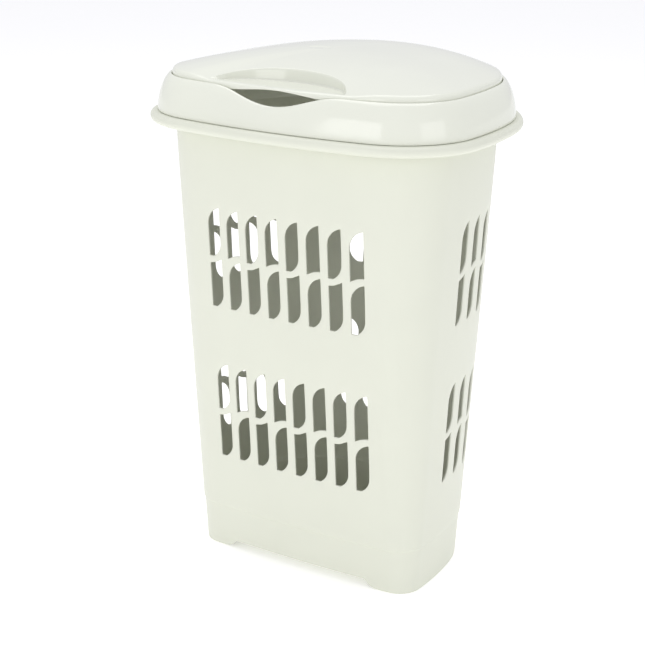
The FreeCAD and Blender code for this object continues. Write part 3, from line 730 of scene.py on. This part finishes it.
def build_collar(lid, material):
    """The collar in one closed skin. Each row is an offset from the rim's outline and a height,
    mixed between the plain section and the one through the open scoop."""
    samples = loop_samples((64, 24, 24, 34, 16))
    dip, open_ = scoop_shape(*outline(samples, RIM_Z, 18.0), lid)
    top = COLLAR_TOP - dip
    shelf = SHELF_Z - dip

    def mix(shut, scooped):
        return shut * (1.0 - open_) + scooped * open_

    # The spigot's foot and outside, then the hollow under the shelf and the skirt's inside.
    rows = [(SPIGOT_IN, 529.0), (-6.4, 528.2), (-5.4, 528.0),
            (-4.4, 528.2), (SPIGOT_OUT, 529.0), (SPIGOT_OUT, 540.0),
            (SPIGOT_OUT, mix(572.9 - dip, SKIRT_Z - 2.0)),
            (-3.0, mix(574.2 - dip, SKIRT_Z - 1.8)),
            (mix(5.0, 12.0), mix(574.2 - dip, SKIRT_Z - 1.8)),
            (mix(9.0, 15.0), mix(572.2 - dip, SKIRT_Z - 1.8)),
            (mix(12.0, 16.5), mix(567.4 - dip, SKIRT_Z - 1.6)),
            (mix(15.4, 17.0), mix(559.0 - dip * 0.6, SKIRT_Z - 1.4)),
            (mix(17.0, 17.2), mix(549.0 - dip * 0.2, SKIRT_Z - 1.2)),
            (17.6, COLLAR_FACE_Z), (17.9, 540.5), (18.8, 540.3),
            (19.7, 540.5), (COLLAR_FOOT, COLLAR_FACE_Z)]
    # The outer face, which leans in to the shoulder.
    edge = 4.6 + 3.4 * smoothstep(dip / 12.0)
    for angle in np.radians(np.linspace(5.0, 88.0, 22)):
        share = math.sin(angle)
        lean = (1.0 - share ** COLLAR_LEAN[0]) ** COLLAR_LEAN[1]
        rows.append((edge + (COLLAR_FOOT - edge) * lean,
                     COLLAR_FACE_Z + (top - COLLAR_FACE_Z) * share))
    # Over the shoulder, down to the shelf that the flap rests on, and the spigot's inside.
    rows += [(mix(3.9, edge - 1.2), top - mix(0.4, 0.5)),
             (mix(3.4, edge - 2.1), top - mix(1.1, 1.6)),
             (mix(3.3, edge - 2.3), top - mix(2.2, 3.2)),
             (mix(3.3, edge - 1.6), mix(577.9 - dip, top - 4.8)),
             (mix(3.0, edge + 1.0), mix(577.1 - dip, top - 7.2)),
             (mix(2.2, 14.0), mix(shelf, SKIRT_Z + 1.5)),
             (mix(-2.0, 12.5), mix(shelf, SKIRT_Z)),
             (mix(-5.6, -4.0), mix(shelf, SKIRT_Z)),
             (mix(-6.4, -6.2), mix(576.5 - dip, SKIRT_Z - 0.3)),
             (SPIGOT_IN, mix(575.8 - dip, SKIRT_Z - 1.0)),
             (SPIGOT_IN, 538.0)]
    points = swept(samples, [(offset, z, RIM_Z) for offset, z in rows])
    faces = ring_faces(len(rows), len(samples), closed_rows=True)
    return mesh_object("lid_collar_shell", points.reshape(-1, 3), faces, material, 60.0)


# ---------------------------------------------------------------- the lid flap

def dish_start(x_rim, y_rim, lid):
    """Where the dish's back lies on the line from the flap's edge (1) to the crown's middle (0)."""
    low = np.full_like(x_rim, 0.5)
    high = np.ones_like(x_rim)
    for _ in range(30):
        share = (low + high) / 2
        x = x_rim * share
        y = CROWN_MIDDLE_Y + (y_rim - CROWN_MIDDLE_Y) * share
        across = np.abs(x - DISH_X) / (lid.dish_half / MM)
        along = np.maximum(y + DISH_TIP_Y, 0.0) / (lid.dish_depth / MM)
        outside = across ** DISH_ROUND[0] + along ** DISH_ROUND[1] > 1.0
        low = np.where(outside, share, low)
        high = np.where(outside, high, share)
    return np.where(y_rim < 0, high, 1.0)


def flap_rows(x_rim, y_rim, lid):
    """Rows of the flap's upper skin, from its edge in to the crown's middle. One group of rows
    follows the steep back wall of the dish behind the lip."""
    wide = smoothstep((130.0 - np.abs(x_rim)) / 45.0)
    rim = FLAP_RIM - np.where(y_rim < 0, lid.lip_drop / MM * wide, 0.0)
    crest = FLAP_RIM + lid.crown / MM
    reach = np.hypot(x_rim, y_rim - CROWN_MIDDLE_Y)
    power = CROWN_POWER[0] + CROWN_POWER[1] * (y_rim - CROWN_MIDDLE_Y) / reach
    found = dish_start(x_rim, y_rim, lid)
    wall = np.minimum(found, 0.95)
    depth = smoothstep((0.99 - found) / 0.03)
    foot = wall + DISH_WALL[-1][0]
    spots = [(1.0 - (1.0 - foot) * t, 1.0) for t in np.linspace(0.0, 1.0, 13)[:-1]]
    spots += [(wall + step, sunk) for step, sunk in DISH_WALL[::-1]]
    top = wall + DISH_WALL[0][0]
    spots += [(top * t, 0.0) for t in (1.0 - np.linspace(0.0, 1.0, 84)[1:-1])]
    rows = []
    for rho, sunk in spots:
        x = x_rim * rho
        y = CROWN_MIDDLE_Y + (y_rim - CROWN_MIDDLE_Y) * rho
        dome = crest - (crest - rim) * rho ** power
        floor = rim - lid.dish_tilt / MM * np.clip((1.0 - rho) / (1.0 - foot), 0.0, 1.0)
        z = dome + (floor - dome) * sunk * depth
        oval = np.hypot((x - OVAL_AT[0]) / OVAL_HALF[0], (y - OVAL_AT[1]) / OVAL_HALF[1])
        z = z - OVAL_DEEP * smoothstep((1.0 - oval) / 0.25)
        rows.append(np.stack([x, y, z], -1))
    return rows, rim, crest


def build_flap(lid, material):
    """The domed flap in one closed skin, with room cut out of it for the hinge's ears."""
    samples = loop_samples((60, 26, 30, 34, 20))
    x_edge, y_edge = outline(samples, RIM_Z, FLAP_EDGE_OFFSET)
    turn = FLAP_EDGE_TURN
    inset = FLAP_EDGE_R * (1.0 - math.cos(turn))
    upper, rim, crest = flap_rows(*outline(samples, RIM_Z, FLAP_EDGE_OFFSET - inset), lid)
    half = lid.lip_half / MM * LIP_SPREAD
    bow = 0.5 + 0.5 * np.cos(math.pi * np.minimum(np.abs(x_edge), half) / half)
    low = FLAP_LOW + np.where(y_edge < 0, lid.lip_rise / MM * bow, 0.0)

    def edge_row(offset, z):
        """A row on the flap's edge; its height is squeezed where the lip is thinner."""
        squeezed = low + (z - FLAP_LOW) * (rim - low) / (FLAP_RIM - FLAP_LOW)
        return np.stack([*outline(samples, RIM_Z, offset), squeezed], -1)

    rows = [row - [0.0, 0.0, FLAP_SKIN] for row in upper[:1:-1]]
    rows += [edge_row(0.1, 582.4), edge_row(0.2, 580.0), edge_row(0.3, FLAP_LOW + 0.5),
             edge_row(0.7, FLAP_LOW), edge_row(2.2, FLAP_LOW), edge_row(2.6, FLAP_LOW + 0.35),
             edge_row(FLAP_EDGE_OFFSET, FLAP_LOW + 0.9), edge_row(FLAP_EDGE_OFFSET, 580.4)]
    for share in np.linspace(0.0, 1.0, 8)[:-1]:
        rows.append(edge_row(FLAP_EDGE_OFFSET - FLAP_EDGE_R * (1.0 - math.cos(turn * share)),
                             FLAP_EDGE_START + FLAP_EDGE_R * math.sin(turn * share)))
    rows += upper
    count = len(samples)
    faces = ring_faces(len(rows), count)
    middle = [0.0, CROWN_MIDDLE_Y, crest]
    points = np.vstack([np.concatenate(rows), np.subtract(middle, [0.0, 0.0, FLAP_SKIN]), middle])
    bottom_pole = len(points) - 2
    top_pole = len(points) - 1
    last = (len(rows) - 1) * count
    for column in range(count):
        after = (column + 1) % count
        faces.append((bottom_pole, after, column))
        faces.append((top_pole, last + column, last + after))
    flap = mesh_object("lid_flap_shell", points, faces, material, 60.0)
    inner = BARREL_HALF
    outer = EAR_MIDDLE + EAR_HALF + 0.4
    under = FLAP_LOW - 4.0
    over = FLAP_RIM + 10.0
    cut_away(flap, [(-outer, under), (outer, under), (outer, over), (inner, over),
                    (inner, HINGE_Z), (-inner, HINGE_Z), (-inner, over), (-outer, over)],
             HINGE_Y - EAR_R - 0.6, HINGE_Y + 9.0)
    return flap


# ---------------------------------------------------------------- the hinge

def turned(name, outline_rx, material):
    """A solid turned about the hinge line, from (x, radius) pairs."""
    steps = 40
    points = []
    for x, radius in outline_rx:
        for step in range(steps):
            angle = 2 * math.pi * step / steps
            points.append((x, HINGE_Y + radius * math.cos(angle), HINGE_Z + radius * math.sin(angle)))
    faces = ring_faces(len(outline_rx), steps)
    faces.append(tuple(range(steps)))
    last = (len(outline_rx) - 1) * steps
    faces.append(tuple(range(last, last + steps))[::-1])
    return mesh_object(name, points, faces, material)


def build_barrel(material):
    """The flap's barrel with a pin at each end."""
    half = [(PIN_END, PIN_R - 0.5), (PIN_END - 0.4, PIN_R), (BARREL_HALF, PIN_R),
            (BARREL_HALF - 0.1, BARREL_R - 0.5), (BARREL_HALF - 0.6, BARREL_R)]
    return turned("hinge_barrel", [(-x, r) for x, r in half] + half[::-1], material)


def build_ears(material):
    """The two ears that the collar holds the pins in."""
    low = SHELF_Z - 1.0 - HINGE_Z
    section = [(EAR_R * math.cos(a), EAR_R * math.sin(a)) for a in np.linspace(0.0, math.pi, 24)]
    section += [(-EAR_R, low), (EAR_R, low)]
    hole = []
    for y, z in section:
        angle = math.atan2(z, y)
        hole.append((EAR_BORE_R * math.cos(angle), EAR_BORE_R * math.sin(angle)))
    bevel = 0.4
    points = []
    for x, shrink in ((-EAR_HALF, bevel), (bevel - EAR_HALF, 0.0), (EAR_HALF - bevel, 0.0),
                      (EAR_HALF, bevel)):
        scale = (EAR_R - shrink) / EAR_R
        points += [(x, y * scale, z * scale if z > 0 else z) for y, z in section]
    for x in (EAR_HALF, -EAR_HALF):
        points += [(x, y, z) for y, z in hole]
    faces = ring_faces(6, len(section), closed_rows=True)
    spots, polygons = repeated(points, faces, 2, EAR_MIDDLE * 2, 1, 0.0, material)
    spots = spots + [0.0, HINGE_Y, HINGE_Z]
    return mesh_object("hinge_ears", spots, polygons, material)


# ---------------------------------------------------------------- materials

def add_node(tree, kind, settings, inputs):
    """Adds a node, sets its properties, and sets or links its inputs."""
    node = tree.nodes.new(kind)
    for name, value in settings.items():
        setattr(node, name, value)
    for name, value in inputs.items():
        if isinstance(value, bpy.types.NodeSocket):
            tree.links.new(value, node.inputs[name])
        else:
            node.inputs[name].default_value = value
    return node


def linear_colour(hex_text):
    """sRGB hex to linear red, green, blue and full alpha."""
    values = [int(hex_text[n:n + 2], 16) / 255.0 for n in (1, 3, 5)]
    return tuple(v / 12.92 if v <= 0.04045 else ((v + 0.055) / 1.055) ** 2.4 for v in values) + (1.0,)


def moulded_plastic(name, colour, rough, grain_mm, grain_depth_mm, sheen_mm):
    """Injection-moulded polypropylene: slightly milky, with a faint flow mottle."""
    material = bpy.data.materials.new(name)
    material.use_nodes = True
    tree = material.node_tree
    tree.nodes.clear()
    place = add_node(tree, "ShaderNodeTexCoord", {}, {})
    base = linear_colour(colour)
    # Flow of the melt leaves clouds a few centimetres wide, a shade apart.
    cloud = add_node(tree, "ShaderNodeTexNoise", {}, {
        "Vector": place.outputs["Object"], "Scale": 1.0 / (sheen_mm * MM), "Detail": 2.0,
        "Roughness": 0.5})
    tint = add_node(tree, "ShaderNodeValToRGB", {}, {"Fac": cloud.outputs["Fac"]})
    tint.color_ramp.elements[0].position = 0.35
    tint.color_ramp.elements[0].color = tuple(c * 0.985 for c in base[:3]) + (1.0,)
    tint.color_ramp.elements[1].position = 0.65
    tint.color_ramp.elements[1].color = base
    # The mould's own finish: spark-eroded grain on the tub, near polish on the lid.
    grain = add_node(tree, "ShaderNodeTexNoise", {}, {
        "Vector": place.outputs["Object"], "Scale": 1.0 / (grain_mm * MM), "Detail": 3.0,
        "Roughness": 0.6})
    bump = add_node(tree, "ShaderNodeBump", {}, {
        "Height": grain.outputs["Fac"], "Strength": 1.0, "Distance": grain_depth_mm * MM})
    polish = add_node(tree, "ShaderNodeMapRange", {}, {
        "Value": cloud.outputs["Fac"], "From Min": 0.3, "From Max": 0.7,
        "To Min": rough * 0.93, "To Max": rough * 1.07})
    shader = add_node(tree, "ShaderNodeBsdfPrincipled", {}, {
        "Base Color": tint.outputs["Color"], "Roughness": polish.outputs["Result"],
        "Normal": bump.outputs["Normal"], "IOR": 1.49})
    out = add_node(tree, "ShaderNodeOutputMaterial", {}, {})
    tree.links.new(shader.outputs["BSDF"], out.inputs["Surface"])
    return material


def tub_plastic():
    """Spark-eroded mould finish: an even satin."""
    found = bpy.data.materials.get("satin moulded polypropylene")
    finish = bpy.context.scene.hamper_finish
    return found or moulded_plastic("satin moulded polypropylene", finish.body_colour,
                                    finish.body_rough, 1.1, 0.012, 60.0)


def lid_plastic():
    """Polished mould finish: glossy, with clear soft-box reflections."""
    found = bpy.data.materials.get("polished moulded polypropylene")
    finish = bpy.context.scene.hamper_finish
    return found or moulded_plastic("polished moulded polypropylene", finish.lid_colour,
                                    finish.lid_rough, 9.0, 0.010, 80.0)


def floor_paint():
    """Backlit white acrylic: evens the ground out to plain white."""
    material = bpy.data.materials.new("backlit white acrylic")
    material.use_nodes = True
    shader = material.node_tree.nodes["Principled BSDF"]
    shader.inputs["Base Color"].default_value = linear_colour("#FAFAF8")
    shader.inputs["Roughness"].default_value = 0.9
    shader.inputs["Specular IOR Level"].default_value = 0.1
    shader.inputs["Emission Color"].default_value = (1.0, 1.0, 1.0, 1.0)
    shader.inputs["Emission Strength"].default_value = 0.3
    return material


# ---------------------------------------------------------------- operators

class HamperOperator:
    bl_options = {"REGISTER", "UNDO"}


class HAMPER_OT_tub(HamperOperator, bpy.types.Operator):
    """Builds the slotted tub wall with its rim bead and feet, and its floor"""
    bl_idname = "hamper.tub"
    bl_label = "Tub"

    def execute(self, context):
        shell = build_tub(context.scene.hamper_slots, tub_plastic())
        base = build_floor(tub_plastic())
        for piece in (shell, base):
            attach(piece, "tub")
        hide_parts("tub")
        return {"FINISHED"}


class HAMPER_OT_collar(HamperOperator, bpy.types.Operator):
    """Builds the lid collar with its finger scoop, and the hinge ears on it"""
    bl_idname = "hamper.collar"
    bl_label = "Lid collar"

    def execute(self, context):
        collar = build_collar(context.scene.hamper_lid, lid_plastic())
        ears = build_ears(lid_plastic())
        for piece in (collar, ears):
            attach(piece, "collar")
        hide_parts("lid_collar")
        return {"FINISHED"}


class HAMPER_OT_flap(HamperOperator, bpy.types.Operator):
    """Builds the domed flap with its lip and dish, and the hinge barrel on it"""
    bl_idname = "hamper.flap"
    bl_label = "Lid flap"

    def execute(self, context):
        flap = build_flap(context.scene.hamper_lid, lid_plastic())
        barrel = build_barrel(lid_plastic())
        for piece in (flap, barrel):
            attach(piece, "flap")
        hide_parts("lid_flap")
        return {"FINISHED"}


def area_light(name, place, target, size, power):
    """A soft box at a place in metres, aimed at a target, with its size and its watts."""
    data = bpy.data.lights.new(name, "AREA")
    data.shape = "RECTANGLE"
    data.size, data.size_y = size
    data.energy = power
    lamp = bpy.data.objects.new(name, data)
    lamp.location = place
    lamp.rotation_euler = (Vector(target) - Vector(place)).to_track_quat("-Z", "Y").to_euler()
    bpy.context.scene.collection.objects.link(lamp)


class HAMPER_OT_stage(HamperOperator, bpy.types.Operator):
    """Sets the floor, the soft light and the camera"""
    bl_idname = "hamper.stage"
    bl_label = "Stage"

    def execute(self, context):
        stage = context.scene.hamper_stage
        context.scene.view_settings.view_transform = "Standard"
        reach = 14.0
        mesh = bpy.data.meshes.new("floor")
        mesh.from_pydata([(-reach, -reach, 0), (reach, -reach, 0), (reach, reach, 0),
                          (-reach, reach, 0)], [], [(0, 1, 2, 3)])
        mesh.materials.append(floor_paint())
        ground = bpy.data.objects.new("floor", mesh)
        context.scene.collection.objects.link(ground)

        world = bpy.data.worlds.new("white dome")
        context.scene.world = world
        world.use_nodes = True
        dome = world.node_tree.nodes["Background"]
        dome.inputs["Color"].default_value = (1.0, 1.0, 1.06, 1.0)
        dome.inputs["Strength"].default_value = stage.dome_light

        area_light("front softbox", (-0.25, -2.59, 0.95), (0.0, 0.0, 0.56), (1.4, 1.1), 11.5)
        area_light("side softbox", (2.14, -0.50, 0.9), (0.0, 0.0, 0.56), (1.3, 0.9), 5.0)
        area_light("top softbox", (-0.3, 0.4, 3.0), (0.0, 0.0, 0.5), (2.4, 2.4), 38.0)

        data = bpy.data.cameras.new("camera")
        data.lens = stage.lens
        data.sensor_width = 36.0
        data.clip_end = 60.0
        camera = bpy.data.objects.new("camera", data)
        back = (Vector(stage.camera_at) - Vector(stage.camera_to)).normalized()
        right = Vector((0.0, 0.0, 1.0)).cross(back).normalized()
        up = back.cross(right)
        turn = stage.camera_roll
        across = right * math.cos(turn) + up * math.sin(turn)
        above = up * math.cos(turn) - right * math.sin(turn)
        camera.matrix_world = Matrix((
            (across.x, above.x, back.x, stage.camera_at[0]),
            (across.y, above.y, back.y, stage.camera_at[1]),
            (across.z, above.z, back.z, stage.camera_at[2]), (0.0, 0.0, 0.0, 1.0)))
        context.scene.collection.objects.link(camera)
        context.scene.camera = camera
        return {"FINISHED"}


class HAMPER_PT_panel(bpy.types.Panel):
    """Lists the pieces of the hamper and their sizes."""
    bl_idname = "HAMPER_PT_panel"
    bl_label = "Hamper"
    bl_space_type = "VIEW_3D"
    bl_region_type = "UI"
    bl_category = "Hamper"

    def draw(self, context):
        for operator in OPERATORS:
            self.layout.operator(operator.bl_idname)
        for name, group in PROPERTIES:
            box = self.layout.box()
            for prop in group.__annotations__:
                box.prop(getattr(context.scene, name), prop)


OPERATORS = (HAMPER_OT_tub, HAMPER_OT_collar, HAMPER_OT_flap, HAMPER_OT_stage)
PROPERTIES = (("hamper_slots", HamperSlots), ("hamper_lid", HamperLid),
              ("hamper_finish", HamperFinish), ("hamper_stage", HamperStage))


def register():
    for group in PROPERTIES:
        bpy.utils.register_class(group[1])
        setattr(bpy.types.Scene, group[0], PointerProperty(type=group[1]))
    for item in OPERATORS + (HAMPER_PT_panel,):
        bpy.utils.register_class(item)


def unregister():
    for item in (HAMPER_PT_panel,) + OPERATORS[::-1]:
        bpy.utils.unregister_class(item)
    for name, group in PROPERTIES[::-1]:
        delattr(bpy.types.Scene, name)
        bpy.utils.unregister_class(group)


def main():
    register()
    bpy.ops.hamper.tub()
    bpy.ops.hamper.collar()
    bpy.ops.hamper.flap()
    bpy.ops.hamper.stage()


if __name__ == "__main__":
    main()
